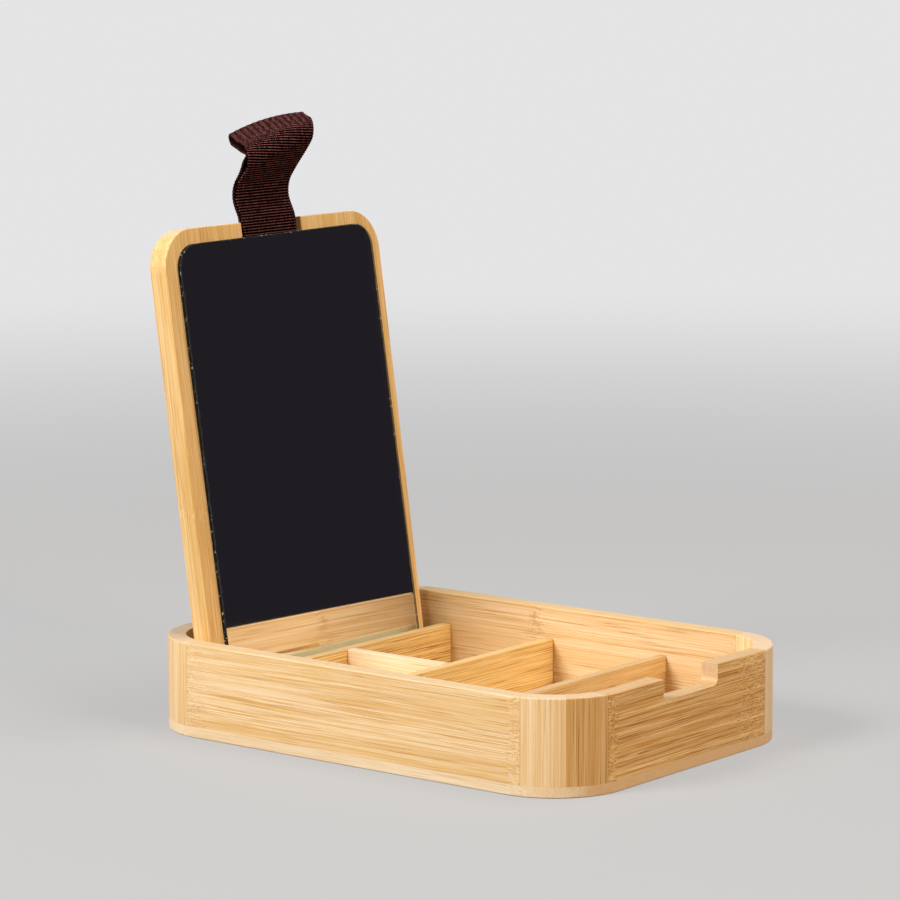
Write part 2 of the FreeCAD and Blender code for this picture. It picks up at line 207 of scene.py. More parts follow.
def opaque(colour):
    return (*colour, 1)


def feed(tree, socket, value):
    if isinstance(value, bpy.types.NodeSocket):
        tree.links.new(value, socket)
    else:
        socket.default_value = value


def mathNode(tree, operation, a, b=None, c=None):
    node = tree.nodes.new("ShaderNodeMath")
    node.operation = operation
    for socket, value in zip(node.inputs, (a, b, c)):
        if value is not None:
            feed(tree, socket, value)
    return node.outputs[0]


def mixColour(tree, share, first, second):
    node = tree.nodes.new("ShaderNodeMix")
    node.data_type = "RGBA"
    for socket, value in zip((node.inputs[0], *node.inputs[6:8]), (share, first, second)):
        feed(tree, socket, value)
    return node.outputs[2]


def mixShaders(tree, share, first, second):
    mix = tree.nodes.new("ShaderNodeMixShader")
    for socket, value in zip(mix.inputs, (share, first, second)):
        feed(tree, socket, value)
    tree.links.new(mix.outputs[0], tree.nodes["Material Output"].inputs["Surface"])


def turned(tree, vector, scale, turn=(0, 0, 0)):
    node = tree.nodes.new("ShaderNodeMapping")
    tree.links.new(vector, node.inputs["Vector"])
    node.inputs["Rotation"].default_value = turn
    node.inputs["Scale"].default_value = scale
    return node.outputs[0]


def noise(tree, vector, pace, detail, roughness, distortion=0.0, output="Fac"):
    node = tree.nodes.new("ShaderNodeTexNoise")
    tree.links.new(turned(tree, vector, pace), node.inputs["Vector"])
    node.inputs["Scale"].default_value = 1
    node.inputs["Detail"].default_value = detail
    node.inputs["Roughness"].default_value = roughness
    node.inputs["Distortion"].default_value = distortion
    return node.outputs[output]


def ramp(tree, value, low, high, toLow=0.0, toHigh=1.0):
    node = tree.nodes.new("ShaderNodeMapRange")
    node.interpolation_type = "SMOOTHSTEP"
    for socket, number in zip(node.inputs, (value, low, high, toLow, toHigh)):
        feed(tree, socket, number)
    return node.outputs[0]


def joinXyz(tree, x, y, z):
    node = tree.nodes.new("ShaderNodeCombineXYZ")
    for socket, value in zip(node.inputs, (x, y, z)):
        feed(tree, socket, value)
    return node.outputs[0]


def splitXyz(tree, vector):
    node = tree.nodes.new("ShaderNodeSeparateXYZ")
    tree.links.new(vector, node.inputs[0])
    return node.outputs


def addBump(tree, shader, height, strength, distance):
    bump = tree.nodes.new("ShaderNodeBump")
    bump.inputs["Strength"].default_value = strength
    bump.inputs["Distance"].default_value = distance * mm
    tree.links.new(height, bump.inputs["Height"])
    tree.links.new(bump.outputs[0], shader.inputs["Normal"])


def newGroup(name, inputs, outputs):
    group = bpy.data.node_groups.new(name, "ShaderNodeTree")
    for direction, sockets in (("INPUT", inputs), ("OUTPUT", outputs)):
        for socketName, kind in sockets.items():
            group.interface.new_socket(socketName, in_out=direction, socket_type=kind)
    given, out = group.nodes.new("NodeGroupInput"), group.nodes.new("NodeGroupOutput")
    return group, given.outputs, out.inputs


def placeGroup(tree, group, values):
    node = tree.nodes.new("ShaderNodeGroup")
    node.node_tree = group
    for name, value in values.items():
        feed(tree, node.inputs[name], value)
    return node.outputs


# Bamboo: bundles of fibres run along X of the grain's own space, in millimetres. Noise stretched
# along X gives streaks on the faces along the grain and dots on the faces across it. At a knuckle
# the fibres ripple sideways.

# Each noise: its pace per mm along and across the fibres, its detail and its roughness, and for
# the flecks its distortion
fibreNoises = {
    "ragged": ((0.05, 0.55, 0.55), 3, 0.5),
    "slow": ((0.009, 0.03, 0.03), 2, 0.5),
    "quick": ((0.55, 0.30, 0.30), 3, 0.65),
    "broad": ((0.004, 0.17, 0.17), 2, 0.5),
    "streak": ((0.016, 1.5, 1.5), 3, 0.6),
    "fine": ((0.03, 2.6, 2.6), 2, 0.6),
    "thin": ((0.010, 1.25, 1.25), 1, 0.35),
    "pores": ((0.22, 2.0, 2.0), 1, 0.5),
    "fleck": ((0.20, 1.15, 1.15), 2, 0.6, 0.5),
    "patches": ((0.012, 0.25, 0.25), 2, 0.5),
}
# Each mask: from where to where on its noise it changes
fibreEdges = {
    "knuckle": (0.1, 1.3, 1, 0),  # in knuckle widths from its middle
    "streak": (0.50, 0.58),
    "fine": (0.40, 0.62),
    "broad": (0.36, 0.66),
    "pores": (0.60, 0.70),
    "patches": (0.38, 0.54),
    "line": (0.015, 0.055, 1, 0),  # either side of the thin noise's middle value
    "darkFleck": (0.50, 0.57),
    "paleFleck": (0.42, 0.49, 1, 0),
}
# How far, in mm, a knuckle's edge is ragged, and how far fibres wander and ripple sideways
fibreReach = {"ragged": 14.0, "wander": 2.6, "ripple": 2.2}
fibreInputs = ("Knuckle", "Knuckle Width", "Second Knuckle", "Second Width", "Waviness")
fibreOutputs = (
    "Streaks", "Fine", "Lines", "Tone", "Dark Flecks", "Pale Flecks", "Pores", "Height",
)


def makeBambooGroup():
    group, given, out = newGroup(
        "bambooFibres",
        {"Vector": "NodeSocketVector", **dict.fromkeys(fibreInputs, "NodeSocketFloat")},
        dict.fromkeys(fibreOutputs, "NodeSocketFloat"),
    )
    place = given["Vector"]
    x, y, z = splitXyz(group, place)
    # a knuckle is a ragged band across the grain
    ragged, raggedReach = noise(group, place, *fibreNoises["ragged"]), fibreReach["ragged"]
    shift = mathNode(group, "MULTIPLY_ADD", ragged, raggedReach, -raggedReach / 2)
    raggedX = mathNode(group, "ADD", x, shift)

    def knuckle(middle, width):
        away = mathNode(group, "ABSOLUTE", mathNode(group, "SUBTRACT", raggedX, given[middle]))
        return ramp(group, mathNode(group, "DIVIDE", away, given[width]), *fibreEdges["knuckle"])

    firstBand = knuckle("Knuckle", "Knuckle Width")
    near = mathNode(group, "MAXIMUM", firstBand, knuckle("Second Knuckle", "Second Width"))
    # fibres wander sideways a little over long distances, and ripple quickly inside a knuckle
    slow, quick = (
        splitXyz(group, noise(group, place, *fibreNoises[name], output="Color"))
        for name in ("slow", "quick")
    )
    wander = mathNode(group, "MULTIPLY", given["Waviness"], fibreReach["wander"])
    ripple = mathNode(group, "MULTIPLY", near, fibreReach["ripple"])

    def bent(across, axis):
        slowly, quickly = (mathNode(group, "SUBTRACT", way[axis], 0.5) for way in (slow, quick))
        moved = mathNode(group, "MULTIPLY_ADD", slowly, wander, across)
        return mathNode(group, "MULTIPLY_ADD", quickly, ripple, moved)

    fibre = joinXyz(group, x, bent(y, 1), bent(z, 2))
    broad, streak, fine, thin, pores, fleck, patches = (
        noise(group, fibre, *fibreNoises[name])
        for name in ("broad", "streak", "fine", "thin", "pores", "fleck", "patches")
    )

    def edge(value, name):
        return ramp(group, value, *fibreEdges[name])

    # thin lines sit where a slow noise crosses its middle value, in patches
    offMiddle = mathNode(group, "ABSOLUTE", mathNode(group, "SUBTRACT", thin, 0.5))
    masks = {
        "Streaks": edge(streak, "streak"),
        "Fine": edge(fine, "fine"),
        "Lines": mathNode(group, "MULTIPLY", edge(offMiddle, "line"), edge(patches, "patches")),
        "Tone": edge(broad, "broad"),
        "Dark Flecks": mathNode(group, "MULTIPLY", near, edge(fleck, "darkFleck")),
        "Pale Flecks": mathNode(group, "MULTIPLY", near, edge(fleck, "paleFleck")),
        "Pores": edge(pores, "pores"),
        "Height": mathNode(group, "SUBTRACT", fine, streak),
    }
    for name, mask in masks.items():
        group.links.new(mask, out[name])
    return group


# What every board has, unless its own settings say otherwise. A share says how strongly a layer
# of colour covers the ones before it.
boardDefaults = {
    "shift": (0, 0),  # gives every board its own piece of the pattern
    "shortness": 1.0,  # more gives shorter streaks
    "fineness": 1.7,  # more gives finer ones
    "waviness": 1.0,
    "knuckles": (),  # up to two: place along the grain and width, in mm
    "toneShare": 0.45,
    "streakShare": 0.75,
    "fineShare": 0.3,
    "lineShare": 0.7,
    "poreShare": 0.3,
    "knuckleShare": 0.35,
    "topShare": 0.8,
    # painted light: the paler colour of a face turned to the mirror, for the light the mirror throws
    # back onto it
    "rear": (0.98, 0.88, 0.60),
    "mirrorLightShare": 0,
    "end": (0.62, 0.46, 0.31),
    "endShare": 0.6,
    "glueShare": 0.45,
    "glueEdge": (0.08, 0.4, 1, 0),  # mm from the board's end
    "facingEdge": (0.4, 0.95),  # how squarely a face has to face up or rearwards
    "endEdge": (0.75, 0.95),  # and how squarely along the grain
    "roughness": (0.46, 0.6),  # between the streaks and on them
    "shader": {"Specular IOR Level": 0.3},
    "bump": (0.4, 0.12),  # strength, and distance in mm
}
# Layers of the grain's colour: mask, its share and its tone
grainLayers = (
    ("Tone", "toneShare", "deep"),
    ("Streaks", "streakShare", "deep"),
    ("Fine", "fineShare", "deep"),
    ("Lines", "lineShare", "dark"),
    ("Pores", "poreShare", "deep"),
    ("Dark Flecks", "knuckleShare", "dark"),
    ("Pale Flecks", "knuckleShare", "pale"),
)
grainTurns = {"x": (0, 0, 0), "y": (0, 0, -math.pi / 2), "z": (0, math.pi / 2, 0)}
noKnuckle = (1000.0, 1.0)  # far off the board


def bambooMaterial(name, group, settings, ends):
    settings = {**boardDefaults, **settings}
    material, tree, shader = newMaterial(name, settings["shader"])
    place = tree.nodes.new("ShaderNodeTexCoord").outputs
    turn = settings.get("turn", grainTurns[settings["grain"]])
    toGrain = turned(tree, place["Object"], (1 / mm, 1 / mm, 1 / mm), turn)
    grainX, grainY, grainZ = splitXyz(tree, toGrain)
    longX = mathNode(tree, "MULTIPLY", grainX, settings["shortness"])
    acrossY, acrossZ = (
        mathNode(tree, "MULTIPLY_ADD", across, settings["fineness"], shift)
        for across, shift in zip((grainY, grainZ), settings["shift"])
    )
    knuckles = (*settings["knuckles"], noKnuckle, noKnuckle)
    values = (*knuckles[0], *knuckles[1], settings["waviness"])
    inputs = {"Vector": joinXyz(tree, longX, acrossY, acrossZ), **dict(zip(fibreInputs, values))}
    fibres = placeGroup(tree, group, inputs)

    def cover(colour, mask, share, tone):
        amount = mathNode(tree, "MULTIPLY", mask, settings[share])
        return mixColour(tree, amount, colour, opaque(settings[tone]))

    colour = opaque(settings["pale"])
    for mask, share, tone in grainLayers:
        colour = cover(colour, fibres[mask], share, tone)
    # upward faces have a darker tone of their own
    normalX, _, normalZ = splitXyz(tree, place["Normal"])
    upward = ramp(tree, normalZ, *settings["facingEdge"])
    colour = cover(colour, upward, "topShare", "top")
    # painted light: a face turned to the mirror is painted paler, for the light the mirror throws
    # back onto it
    mirrorLitFaces = ramp(tree, mathNode(tree, "MULTIPLY", normalX, -1), *settings["facingEdge"])
    colour = cover(colour, mirrorLitFaces, "mirrorLightShare", "rear")
    # faces across the grain show the ends of the fibres, pinkish
    alongGrain = splitXyz(tree, turned(tree, place["Normal"], (1, 1, 1), turn))[0]
    endGrain = ramp(tree, mathNode(tree, "ABSOLUTE", alongGrain), *settings["endEdge"])
    colour = cover(colour, endGrain, "endShare", "end")
    # a thin glue line where the board meets the next one
    fromLow = mathNode(tree, "SUBTRACT", grainX, ends[0])
    fromHigh = mathNode(tree, "SUBTRACT", ends[1], grainX)
    inside = mathNode(tree, "MINIMUM", fromLow, fromHigh)
    colour = cover(colour, ramp(tree, inside, *settings["glueEdge"]), "glueShare", "dark")
    tree.links.new(colour, shader.inputs["Base Color"])
    rough = ramp(tree, fibres["Streaks"], 0, 1, *settings["roughness"])
    tree.links.new(rough, shader.inputs["Roughness"])
    addBump(tree, shader, fibres["Height"], *settings["bump"])
    return material


honey = {
    "pale": (0.93, 0.71, 0.45),
    "deep": (0.74, 0.42, 0.115),
    "dark": (0.58, 0.27, 0.055),
    "top": (0.52, 0.39, 0.24),
}
amber = {
    "pale": (0.97, 0.67, 0.33),
    "deep": (0.58, 0.26, 0.042),
    "dark": (0.34, 0.12, 0.016),
    "top": (0.46, 0.31, 0.155),
}
cream = {
    "pale": (0.90, 0.73, 0.52),
    "deep": (0.80, 0.56, 0.30),
    "dark": (0.60, 0.33, 0.12),
    "top": (0.58, 0.46, 0.31),
}
inner = {
    "pale": (0.84, 0.63, 0.30),
    "deep": (0.60, 0.355, 0.088),
    "dark": (0.30, 0.115, 0.012),
    "top": (0.58, 0.395, 0.18),
}

boardSettings = {
    "side_wall_near": {
        **honey,
        "grain": "x",
        "shift": (3, 11),
        "knuckles": ((-78, 11),),
        "knuckleShare": 0.3,
    },
    "side_wall_far": {
        **inner,
        "pale": (0.76, 0.59, 0.38),
        "deep": (0.63, 0.39, 0.15),
        "dark": (0.45, 0.22, 0.045),
        "grain": "x",
        "shift": (40, 27),
        "knuckles": ((-18, 4),),
        "knuckleShare": 0.5,
    },
    "end_wall_front": {
        **amber,
        "grain": "y",
        "shift": (71, 8),
        "fineness": 2.0,
        "knuckles": ((39, 13),),
        "knuckleShare": 0.32,
        "streakShare": 0.9,
        "fineShare": 0.4,
        "lineShare": 0.9,
    },
    "end_wall_rear": {
        **honey,
        "grain": "y",
        "shift": (93, 35),
        "knuckles": ((10, 5),),
    },
    "base_panel": {
        **cream,
        "end": (0.73, 0.41, 0.17),
        "grain": "x",
        "shift": (17, 60),
        "shortness": 1.6,
        "lineShare": 0.35,
        "topShare": 0.25,
        "glueShare": 0,
    },
    "divider_rear": {
        **inner,
        "grain": "y",
        "shift": (5, 91),
        "streakShare": 0.85,
        "lineShare": 0.9,
        # painted light: its face turned to the mirror is painted paler
        "mirrorLightShare": 1,
        "glueShare": 0.9,
    },
    "divider_middle": {
        **inner,
        "grain": "y",
        "shift": (31, 77),
        "knuckles": ((-14, 5),),
        "knuckleShare": 0.5,
        "streakShare": 0.85,
        "lineShare": 0.85,
        "glueShare": 0.9,
    },
    "divider_front": {
        **inner,
        "pale": (0.68, 0.50, 0.26),
        "deep": (0.51, 0.30, 0.09),
        "top": (0.50, 0.32, 0.16),
        "grain": "y",
        "shift": (58, 66),
        "glueShare": 0.9,
    },
    "divider_lengthwise": {
        **cream,
        "pale": (0.90, 0.76, 0.58),
        "grain": "x",
        "shift": (86, 12),
        "glueShare": 0.9,
    },
    "lid_rest_rail": {**inner, "grain": "y", "shift": (24, 44)},
    "lid_toe_strip": {**inner, "grain": "y", "shift": (11, 82)},
    "lid_panel": {
        **honey,
        "pale": (0.85, 0.60, 0.30),
        "deep": (0.67, 0.365, 0.085),
        "dark": (0.50, 0.23, 0.045),
        "grain": "z",
        "turn": (0, math.pi / 2 + math.radians(lidLean), 0),
        "shift": (64, 3),
        "knuckles": ((92, 3),),
        "knuckleShare": 0.4,
        "topShare": 0.2,
        "glueShare": 0,
    },
}
# Palettes of each corner post's two halves, at the side wall and at the end wall
postSettings = {
    "front_near": (honey, {**amber, "pale": (0.86, 0.56, 0.26), "deep": (0.58, 0.27, 0.048)}),
    "rear_near": (honey, honey),
    "rear_far": (honey, honey),
    "front_far": (honey, cream),
}
postGrain = {"grain": "z", "fineness": 2.2, "waviness": 0.2, "streakShare": 0.5, "glueShare": 0}
postShifts = {"side": (29, 5), "end": (29, 21)}
postStep = (13, 37)  # added to both shifts from one post to the next


def grainEnds(node, grain):
    low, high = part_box(node)
    axis = "xyz".index(grain)
    return low[axis] / mm, high[axis] / mm


def giveMaterials(name, *materials):
    mesh = nodes[name].data
    mesh.materials.clear()
    for material in materials:
        mesh.materials.append(material)
    return mesh


def dressBamboo(group):
    settings = dict(boardSettings)
    for count, (corner, palettes) in enumerate(postSettings.items()):
        for (half, start), palette in zip(postShifts.items(), palettes):
            shift = [first + step * count for first, step in zip(start, postStep)]
            settings[f"post_{corner}_{half}"] = {**palette, **postGrain, "shift": shift}
    for name, values in settings.items():
        ends = grainEnds(name, values["grain"])
        giveMaterials(name, bambooMaterial(name + "_bamboo", group, values, ends))


# Mirror: clear glass in front of a silver coat, fixed with tapes

mirrorSettings = {
    "glass": {
        "Base Color": (0.97, 0.97, 0.955, 1),
        "Roughness": 0,
        "IOR": 1.52,
        "Transmission Weight": 1,
    },
    "silver": {"Base Color": (0.82, 0.79, 0.74, 1), "Metallic": 1, "Roughness": 0.02},
    "tape": {"Base Color": (0.7, 0.7, 0.68, 1)},
    "ground": {"Specular IOR Level": 0.1},
    "clearColour": (0.96, 0.96, 0.94),
    # painted shade: the nearly black colour of the slab's sides
    "groundColour": (0.008, 0.009, 0.007),
    "chipColour": (0.8, 0.82, 0.78),
    "chipNoise": ((900, 900, 900), 2, 0.7),
    "chipEdge": (0.63, 0.69),
    "groundRoughness": 0.6,
    "chipSmoothness": 0.3,
    "bow": (0, 0.0144, -0.0099),  # added to the normal
    "sideLimit": 0.5,  # a face that agrees less than this with the lid's normal is a side
    "bevelLimit": 0.9,  # and so is one that agrees less than this, where it faces up
    "upLimit": 0.5,
    "coatSwell": 0.03,
}


# what the mirror reflects is turned by about a degree: a small constant is added to the normal, as
# if the mirror bowed a little on its tapes
def bowedNormal(tree, amount):
    geometry = tree.nodes.new("ShaderNodeNewGeometry").outputs
    bow = tree.nodes.new("ShaderNodeVectorMath")
    bow.operation = "SCALE"
    bow.inputs[0].default_value = amount
    # the normal of a back face is turned round, and so is the bow
    feed(tree, bow.inputs["Scale"], mathNode(tree, "MULTIPLY_ADD", geometry["Backfacing"], -2, 1))
    bowed = tree.nodes.new("ShaderNodeVectorMath")
    feed(tree, bowed.inputs[0], geometry["Normal"])
    feed(tree, bowed.inputs[1], bow.outputs["Vector"])
    return bowed.outputs["Vector"]


def glassMaterial(settings):
    material, tree, shader = newMaterial("mirrorGlass", settings["glass"])
    feed(tree, shader.inputs["Normal"], bowedNormal(tree, settings["bow"]))
    # light that only brightens other pieces passes straight through to the coat and back
    clear = tree.nodes.new("ShaderNodeBsdfTransparent")
    clear.inputs["Color"].default_value = opaque(settings["clearColour"])
    rays = tree.nodes.new("ShaderNodeLightPath").outputs
    unseen = mathNode(tree, "MAXIMUM", rays["Is Diffuse Ray"], rays["Is Shadow Ray"])
    mixShaders(tree, unseen, shader.outputs[0], clear.outputs[0])
    return material


# The slab's sides are ground, with pale chips that are smoother. Painted shade: between the chips
# they are painted nearly black, as a glass edge looks in shade.
def groundMaterial(settings):
    material, tree, shader = newMaterial("groundEdge", settings["ground"])
    place = tree.nodes.new("ShaderNodeTexCoord").outputs["Object"]
    chips = ramp(tree, noise(tree, place, *settings["chipNoise"]), *settings["chipEdge"])
    groundColour, chipColour = opaque(settings["groundColour"]), opaque(settings["chipColour"])
    colour = mixColour(tree, chips, groundColour, chipColour)
    feed(tree, shader.inputs["Base Color"], colour)
    smoother, rough = -settings["chipSmoothness"], settings["groundRoughness"]
    roughness = mathNode(tree, "MULTIPLY_ADD", chips, smoother, rough)
    feed(tree, shader.inputs["Roughness"], roughness)
    return material


def dressMirror(settings):
    glass, ground = glassMaterial(settings), groundMaterial(settings)
    silver, tree, shader = newMaterial("silverCoat", settings["silver"])
    feed(tree, shader.inputs["Normal"], bowedNormal(tree, settings["bow"]))
    giveMaterials("mirror_silver_coat", silver)
    giveMaterials("mirror_tapes", newMaterial("mountingTape", settings["tape"])[0])
    mesh = giveMaterials("mirror_glass", glass, ground)
    lean = math.radians(lidLean)
    lidNormal = Vector((math.cos(lean), 0, math.sin(lean)))
    for polygon in mesh.polygons:
        facing = abs(polygon.normal.dot(lidNormal))
        upward = polygon.normal.z > settings["upLimit"]
        limit = settings["bevelLimit"] if upward else settings["sideLimit"]
        polygon.material_index = int(facing < limit)
    # the coat reaches a hair into the glass, so that no ray slips between their touching faces
    swell = nodes["mirror_silver_coat"].modifiers.new("swell", "DISPLACE")
    swell.strength, swell.mid_level = settings["coatSwell"] * mm, 0


# Webbing strap: one band, folded double at its tip. Both ends run down the lid's groove under
# the mirror. Millimetres and degrees.

strapSettings = {
    "width": 30.4,
    "layer": 0.9,
    "gap": 0.02,  # the layers' plain faces lie this and a rib's height apart
    "rib": 0.3,
    "ribPitch": 1.08,
    "ribPower": 1.3,
    "stepsInRib": 8,
    "plainStep": 1.5,
    "frontRibsFrom": -1.0,  # along the strap from its root
    "backRibsFrom": 3.0,
    "tipSteps": 28,
    "sectionSteps": (66, 5, 10),  # ribbed face, selvedge, plain face
    "selvedgeRib": (0.7, 0.3),  # share of the rib there: mean and swing
    "columnPitch": 2.4,
    "knots": (0.86, 0.14),  # height of a rib along its length: mean and swing
    "flapKnots": (-0.14, 0.1),  # added to both on the flap
    "flapFrom": (43.0, 49.0),  # past the last bend the band shows lengthwise ridges
    "foot": (-72.42, 0, 35),  # where the lid's own axes start
    "lean": lidLean,
    "root": 145.0,  # along the lid from there
    "centre": 0.64,
    "recess": 1.4,
    "tailStart": -29.0,  # along the strap from its root
    "tip": 63.1,
    "crown": 1.75,  # the tip arches across its width
    "crownFrom": (36, 60),
    "sway": (0.12, 0.42, 4),  # the selvedges sway: how far, their pace, how deep it reaches
    "partings": ((21.0, 33.0, 1.9), (40.0, 57.0, 0.4)),  # where the layers part, and by how much
    "bends": (  # place of the middle along the strap, degrees off square, radius, turn
        {"middle": 7.6, "skew": 0.0, "radius": 8.1, "turn": -16.2},
        {"middle": 17.3, "skew": 1.7, "radius": 9.4, "turn": 61.1},
        {"middle": 38.9, "skew": 22.5, "radius": 5.35, "turn": -125.8},
    ),
    "rest": (150.9, 154.2),  # along the lid: still in the groove, and free of it
}


def smooth(value, low, high):
    share = np.clip((value - low) / (high - low), 0, 1)
    return share * share * (3 - 2 * share)


# A flat strip is rolled round one oblique cylinder after another, the last bend first. Past a
# cylinder the strip goes on straight in its new direction.
def bendStrip(along, across, out, bends):
    points = np.stack([along, across, out], -1)
    for bend in reversed(bends):
        skew, turn = math.radians(bend["skew"]), math.radians(bend["turn"])
        radius, sign = bend["radius"], math.copysign(1, turn)
        ahead = np.array([math.cos(skew), -math.sin(skew), 0])
        axis = np.array([math.sin(skew), math.cos(skew), 0])
        begin = bend["middle"] - radius * abs(turn) / 2 / math.cos(skew)
        reached = (along - begin) * ahead[0] + across * ahead[1]
        rolled = np.clip(reached, 0, radius * abs(turn))
        sine, cosine = np.sin(rolled / radius), np.cos(rolled / radius)
        rest = points - np.array([begin, 0, 0]) - rolled[..., None] * ahead
        goes, height = rest @ ahead, rest[..., 2]
        newGoes = goes * cosine - height * sign * sine + radius * sine
        newHeight = goes * sign * sine + height * cosine + sign * radius * (1 - cosine)
        sideways = (rest @ axis)[..., None] * axis
        points = np.array([begin, 0, 0]) + newGoes[..., None] * ahead + sideways
        points[..., 2] = newHeight
    return points


# From the lid's own axes, along it, across it and out of its mirror face, to metres
def lidPlace(settings, along, across, out):
    lean = math.radians(settings["lean"])
    up = np.array([-math.sin(lean), 0, math.cos(lean)])
    off = np.array([math.cos(lean), 0, math.sin(lean)])
    side = np.array([0.0, 1.0, 0.0])
    along, across, out = (np.asarray(value)[..., None] for value in (along, across, out))
    return (np.array(settings["foot"]) + along * up + across * side + out * off) * mm


# The band's middle line in the plane of its length: up the front, in a half circle round the tip
# and down the back, which lies further off wherever the layers part
def strapLine(settings):
    s = settings
    layer, rib = s["layer"], s["rib"]
    front, back = -rib - layer / 2, -rib * 2 - layer * 1.5 - s["gap"]
    apart = front - back + sum(amount for begin, end, amount in s["partings"])
    turnAt = s["tip"] - apart / 2 - layer / 2 - rib
    step, plainStep = s["ribPitch"] / s["stepsInRib"], s["plainStep"]
    tail = np.arange(s["tailStart"], s["frontRibsFrom"], plainStep)
    rise = np.concatenate([tail, np.arange(s["frontRibsFrom"], turnAt, step)])
    bow = np.linspace(0, math.pi, s["tipSteps"])[:-1]
    backTail = np.arange(s["backRibsFrom"], s["tailStart"], -plainStep)
    fall = np.concatenate([np.arange(turnAt, s["backRibsFrom"], -step), backTail])
    parted = sum(amount * smooth(fall, begin, end) for begin, end, amount in s["partings"])
    lineAlong = np.concatenate([rise, turnAt + apart / 2 * np.sin(bow), fall])
    tipOut = front - apart / 2 * (1 - np.cos(bow))
    lineOut = np.concatenate([np.full(len(rise), front), tipOut, back - parted])
    return lineAlong, lineOut


# The band's section: a ribbed outer face, two round selvedges and a plain inner face. It gives
# each point's place across the band and out of its middle, and its share of the ribs.
def strapSection(settings):
    layer, half = settings["layer"], settings["width"] / 2 - settings["layer"] / 2
    faceCount, edgeCount, innerCount = settings["sectionSteps"]
    face, inner = np.linspace(-half, half, faceCount), np.linspace(half, -half, innerCount)
    angle = np.linspace(math.pi / 2, -math.pi / 2, edgeCount + 2)[1:-1]
    edgeAcross, edgeOut = half + np.cos(angle) * layer / 2, np.sin(angle) * layer / 2
    faceOut, innerOut = np.full(faceCount, layer / 2), np.full(innerCount, -layer / 2)
    mean, swing = settings["selvedgeRib"]
    edgeRib, faceRib, innerRib = swing * np.sin(angle), np.ones(faceCount), np.zeros(innerCount)
    across = np.concatenate([face, edgeAcross, inner, -edgeAcross])
    out = np.concatenate([faceOut, edgeOut, innerOut, -edgeOut])
    ribbed = np.concatenate([faceRib, mean + edgeRib, innerRib, mean - edgeRib])
    return across, out, ribbed


def makeStrap(settings):
    s = settings
    width, layer = s["width"], s["layer"]
    lineAlong, lineOut = strapLine(s)
    sectionAcross, sectionOut, ribbed = strapSection(s)
    goAlong, goOut = np.gradient(lineAlong), np.gradient(lineOut)
    speed = np.hypot(goAlong, goOut)
    outAlong, outOut = -goOut / speed, goAlong / speed
    steps = np.hypot(np.diff(lineAlong), np.diff(lineOut))
    length = np.concatenate([[0], np.cumsum(steps)])
    # a rib is a round ridge across the band: a power of the sine of the length, times a cosine
    # across the band for the knots where the warp yarns cross it
    u, v = np.meshgrid(length, sectionAcross, indexing="ij")
    ridge = np.abs(np.sin(math.pi * u / s["ribPitch"])) ** s["ribPower"]
    flap = np.repeat(smooth(lineAlong, *s["flapFrom"])[:, None], len(sectionAcross), axis=1)
    mean, swing = (base + more * flap for base, more in zip(s["knots"], s["flapKnots"]))
    knots = mean + swing * np.cos(2 * math.pi * v / s["columnPitch"])
    raised = sectionOut + s["rib"] * ridge * knots * ribbed
    along = lineAlong[:, None] + outAlong[:, None] * raised
    out = lineOut[:, None] + outOut[:, None] * raised
    # the tip's crown is a parabola across the band, and the selvedges follow a slow sine
    out = out + s["crown"] * (0.5 - (2 * v / width) ** 2) * smooth(along, *s["crownFrom"])
    reach, pace, depth = s["sway"]
    half = width / 2 - layer / 2
    sway = reach * np.sin(u * pace) * np.sign(v) * smooth(np.abs(v), half - depth, half)
    points = bendStrip(along, v + sway, out, s["bends"])
    alongLid, acrossLid = s["root"] + points[..., 0], s["centre"] + points[..., 1]
    world = lidPlace(s, alongLid, acrossLid, points[..., 2] - s["recess"])
    rows, columns = u.shape
    index = np.arange(rows * columns).reshape(rows, columns)
    ahead = np.roll(index, -1, axis=1)
    quads = np.stack([index[:-1], ahead[:-1], ahead[1:], index[1:]], -1).reshape(-1, 4)
    faces = quads.tolist() + [index[0, ::-1].tolist(), index[-1].tolist()]
    mesh = bpy.data.meshes.new("webbingStrap")
    mesh.from_pydata(world.reshape(-1, 3).tolist(), [], faces)
    mesh.polygons.foreach_set("use_smooth", np.ones(len(faces), dtype=bool))
    corner = np.empty(len(mesh.loops), dtype=np.int32)
    mesh.loops.foreach_get("vertex_index", corner)
    flat = np.stack([u, v], -1).reshape(-1, 2)[corner] * mm
    mesh.uv_layers.new(name="flat").data.foreach_set("uv", flat.astype(np.float32).ravel())
    # two values ride on every point: how far it lies on the flap, and its share of the ribs
    for name, values in (("flap", flap), ("outer", np.repeat(ribbed[None], rows, axis=0))):
        data = mesh.attributes.new(name, "FLOAT", "POINT").data
        data.foreach_set("value", values.astype(np.float32).ravel())
    strap = bpy.data.objects.new("webbingStrap", mesh)
    scene.collection.objects.link(strap)
    mesh.materials.append(webbingMaterial(s, webbingSettings))
    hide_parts("strap_loop", "strap_tail")
    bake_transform(strap)
    print("strap:", len(faces), "faces, band", round(float(length[-1]), 1), "mm long")


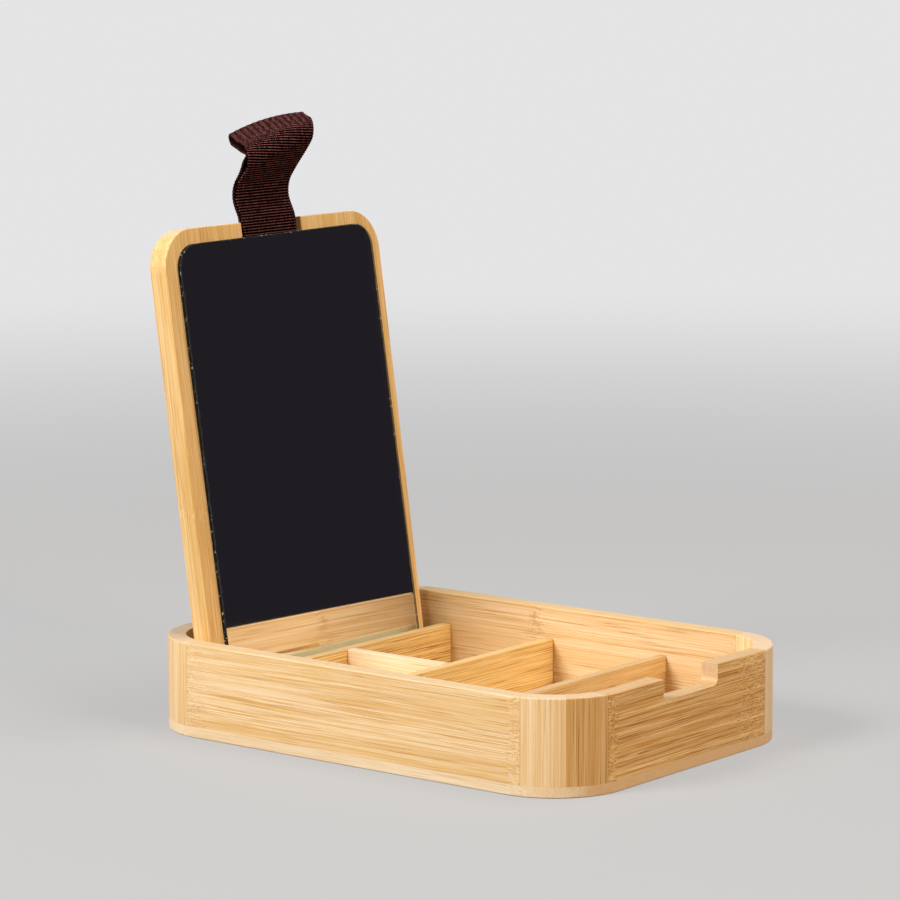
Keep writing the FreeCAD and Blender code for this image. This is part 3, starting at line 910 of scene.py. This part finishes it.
webbingSettings = {
    "crest": (0.30, 0.125, 0.12),
    "body": (0.07, 0.018, 0.017),
    # near black: the painted shade in the weave's recesses and on the inner face
    "deep": (0.0015, 0.0002, 0.0002),
    "shader": {"Roughness": 0.6, "Specular IOR Level": 0},
    "floatPitch": 0.62,  # from one warp float to the next, in mm
    "floatShift": 0.5,  # from rib to rib, in floats
    "yarnNoise": ((300, 2600, 1), 3, 0.6),
    "yarnEdge": (0.42, 0.62),
    # in ribs, floats and columns from the middle of one
    "valleyEdge": (0.06, 0.24),
    "seamEdge": (0.34, 0.5),
    "grooveEdge": (0.34, 0.06),
    "seamShadeShare": 0.8,
    # shares off the flap, and what is added on it
    "bodyShare": (0, 0.3),
    "grooveShadeShare": (0.2, 0.45),
    "valleyShadeShare": (1.0, -0.35),
    "innerShadeEdge": (0.15, 0.5, 0.85, 0),  # painted shade: the inner face is darkened, as the shadow between the layers
    "height": (0.5, -0.6),  # of yarns and seams
    "bump": (0.6, 0.15),  # strength, and distance in mm
}


# Woven nylon: every rib is a row of short warp floats, each a pair of yarns, staggered from rib
# to rib
def webbingMaterial(strap, settings):
    material, tree, shader = newMaterial("redBrownWebbing", settings["shader"])
    place = tree.nodes.new("ShaderNodeUVMap")
    place.uv_map = "flat"
    u, v = splitXyz(tree, place.outputs[0])[:2]

    def offMiddle(value):
        within = mathNode(tree, "FRACT", value)
        return mathNode(tree, "ABSOLUTE", mathNode(tree, "SUBTRACT", within, 0.5))

    def attribute(name):
        node = tree.nodes.new("ShaderNodeAttribute")
        node.attribute_name = name
        return node.outputs["Fac"]

    ribs = mathNode(tree, "DIVIDE", u, strap["ribPitch"] * mm)
    floats = mathNode(tree, "DIVIDE", v, settings["floatPitch"] * mm)
    columns = mathNode(tree, "DIVIDE", v, strap["columnPitch"] * mm)
    rib = mathNode(tree, "FLOOR", ribs)
    floats = mathNode(tree, "MULTIPLY_ADD", rib, settings["floatShift"], floats)
    valley = ramp(tree, offMiddle(ribs), *settings["valleyEdge"])
    seam = ramp(tree, offMiddle(floats), *settings["seamEdge"])
    groove = ramp(tree, offMiddle(columns), *settings["grooveEdge"])
    flap, outer = attribute("flap"), attribute("outer")
    yarns = noise(tree, place.outputs[0], *settings["yarnNoise"])
    crest, body, deep = (opaque(settings[tone]) for tone in ("crest", "body", "deep"))

    def flapShare(key):
        base, more = settings[key]
        return mathNode(tree, "MULTIPLY_ADD", flap, more, base)

    grooveShade = mathNode(tree, "MULTIPLY", groove, flapShare("grooveShadeShare"))
    valleyShade = mathNode(tree, "MULTIPLY", valley, flapShare("valleyShadeShare"))
    colour = mixColour(tree, ramp(tree, yarns, *settings["yarnEdge"]), body, crest)
    colour = mixColour(tree, flapShare("bodyShare"), colour, body)
    # painted shade: the seams between floats, the grooves between columns and the valleys between
    # ribs are darkened to near black, as shade falls in them
    colour = mixColour(tree, mathNode(tree, "MULTIPLY", seam, settings["seamShadeShare"]), colour, deep)
    colour = mixColour(tree, grooveShade, colour, deep)
    colour = mixColour(tree, valleyShade, colour, deep)
    # painted shade on the inner face, where the layers shade each other
    colour = mixColour(tree, ramp(tree, outer, *settings["innerShadeEdge"]), colour, deep)
    tree.links.new(colour, shader.inputs["Base Color"])
    yarnHeight, seamHeight = settings["height"]
    sunk = mathNode(tree, "MULTIPLY", seam, seamHeight)
    height = mathNode(tree, "MULTIPLY_ADD", yarns, yarnHeight, sunk)
    addBump(tree, shader, height, *settings["bump"])
    return material


makeCamera(cameraSettings)
for lampName, lampValues in lampSettings.items():
    makeLamp(lampName, **lampValues)
makeFloor(stageSettings)
makeReflectionCard(reflectionCardSettings)
makeWorld(stageSettings)
print("camera, lamps and stage made")
dressBamboo(makeBambooGroup())
dressMirror(mirrorSettings)
print("frame dressed")
makeStrap(strapSettings)
